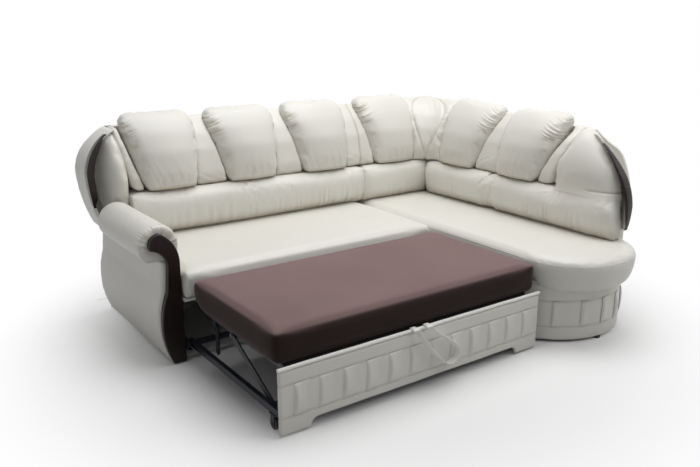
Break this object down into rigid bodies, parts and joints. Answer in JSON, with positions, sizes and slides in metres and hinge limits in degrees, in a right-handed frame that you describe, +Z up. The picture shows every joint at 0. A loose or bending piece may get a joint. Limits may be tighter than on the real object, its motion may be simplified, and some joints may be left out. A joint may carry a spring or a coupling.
{
  "type": "corner sofa bed",
  "caption": "L-shaped corner sofa bed in cream faux leather with dark wood trims, its brown mattress pulled out and raised to seat level on a rolling drawer",
  "frame": {"origin": "centre of the footprint, on the floor", "axes": "X along the long back from the arm to the return, Y from the pulled-out bed to the long back, Z up"},
  "size_m": [2.31, 1.8302, 1.034],
  "materials": {
    "faux_leather": "soft cream faux leather with a low sheen",
    "dark_wood": "dark brown gloss lacquer",
    "frame_timber": "plain sawn timber and board",
    "dark_steel": "blue-black powder coat",
    "black_plastic": "moulded black plastic",
    "brown_fabric": "short-pile brown microfibre",
    "webbing": "flat woven white webbing"
  },
  "bodies": {
    "sofa": {"arm_fascia": "dark_wood", "arm_roll": "faux_leather", "arm_side": "faux_leather", "back_top_rails": "frame_timber", "back_uprights": "frame_timber", "corner_headrest": "faux_leather", "corner_lumbar": "faux_leather", "corner_wedge": "faux_leather", "glides": "black_plastic", "left_back_strip": "faux_leather", "left_back_trim": "dark_wood", "left_end_pillow": "faux_leather", "left_spacer": "faux_leather", "long_back_boards": "frame_timber", "long_headrest_1": "faux_leather", "long_headrest_2": "faux_leather", "long_headrest_3": "faux_leather", "long_lumbar": "faux_leather", "long_rear_panel": "faux_leather", "long_seat_cushion": "faux_leather", "long_seat_deck": "frame_timber", "long_seat_rails": "frame_timber", "long_spacer_1": "faux_leather", "long_spacer_2": "faux_leather", "long_spacer_3": "faux_leather", "return_back_board": "frame_timber", "return_back_strip": "faux_leather", "return_back_trim": "dark_wood", "return_base_front": "faux_leather", "return_base_left": "faux_leather", "return_base_pleats": "faux_leather", "return_base_right": "faux_leather", "return_corner_lumbar": "faux_leather", "return_end_board": "faux_leather", "return_end_pillow": "faux_leather", "return_headrest_1": "faux_leather", "return_headrest_2": "faux_leather", "return_lumbar": "faux_leather", "return_rear_panel": "faux_leather", "return_seat_cushion": "faux_leather", "return_seat_deck": "frame_timber", "return_spacer_1": "faux_leather", "return_spacer_2": "faux_leather", "runner_channels": "dark_steel"},
    "drawer": {"front_panel": "faux_leather", "panel_piping": "faux_leather", "panel_pleats": "faux_leather", "drawer_rails": "dark_steel", "drawer_cross_tubes": "dark_steel", "drawer_brackets": "dark_steel"},
    "strap": {"pull_strap": "webbing"},
    "floor_roller_left": {"floor_roller_left": "black_plastic"},
    "floor_roller_right": {"floor_roller_right": "black_plastic"},
    "guide_roller_left": {"guide_roller_left": "black_plastic"},
    "guide_roller_right": {"guide_roller_right": "black_plastic"},
    "lift": {"lift_arms": "dark_steel"},
    "platform": {"platform_frame": "dark_steel", "platform_deck": "brown_fabric", "mattress": "brown_fabric"},
    "props": {"rear_props": "dark_steel"}
  },
  "joints": [
    {"name": "drawer_slide", "type": "slide", "parent": "sofa", "child": "drawer", "axis": [0, 1, 0], "range_m": [0, 0.01]},
    {"name": "strap_swing", "type": "hinge", "parent": "drawer", "child": "strap", "pos_m": [-0.297, -0.718, 0.27], "axis": [-1, 0, 0], "range_deg": [0, 80]},
    {"name": "floor_roller_left_spin", "type": "hinge", "parent": "drawer", "child": "floor_roller_left", "pos_m": [-0.931, -0.647, 0.025], "axis": [1, 0, 0], "continuous": true},
    {"name": "guide_roller_left_spin", "type": "hinge", "parent": "drawer", "child": "guide_roller_left", "pos_m": [-0.95475, 0.085, 0.077], "axis": [1, 0, 0], "continuous": true},
    {"name": "floor_roller_right_spin", "type": "hinge", "parent": "drawer", "child": "floor_roller_right", "pos_m": [0.389, -0.647, 0.025], "axis": [1, 0, 0], "continuous": true},
    {"name": "guide_roller_right_spin", "type": "hinge", "parent": "drawer", "child": "guide_roller_right", "pos_m": [0.41275, 0.085, 0.077], "axis": [1, 0, 0], "continuous": true},
    {"name": "lift_swing", "type": "hinge", "parent": "drawer", "child": "lift", "pos_m": [-0.271, -0.61, 0.077], "axis": [-1, 0, 0], "range_deg": [0, 24]},
    {"name": "platform_level", "type": "hinge", "parent": "lift", "child": "platform", "pos_m": [-0.271, -0.28095, 0.24178], "axis": [1, 0, 0], "range_deg": [0, 24]},
    {"name": "prop_fold", "type": "hinge", "parent": "platform", "child": "props", "pos_m": [-0.271, -0.1, 0.226], "axis": [-1, 0, 0], "range_deg": [0, 86.5]}
  ],
  "couplings": [
    {"joint": "platform_level", "follows": "lift_swing", "ratio": 1},
    {"joint": "prop_fold", "follows": "lift_swing", "ratio": 3.6}
  ]
}
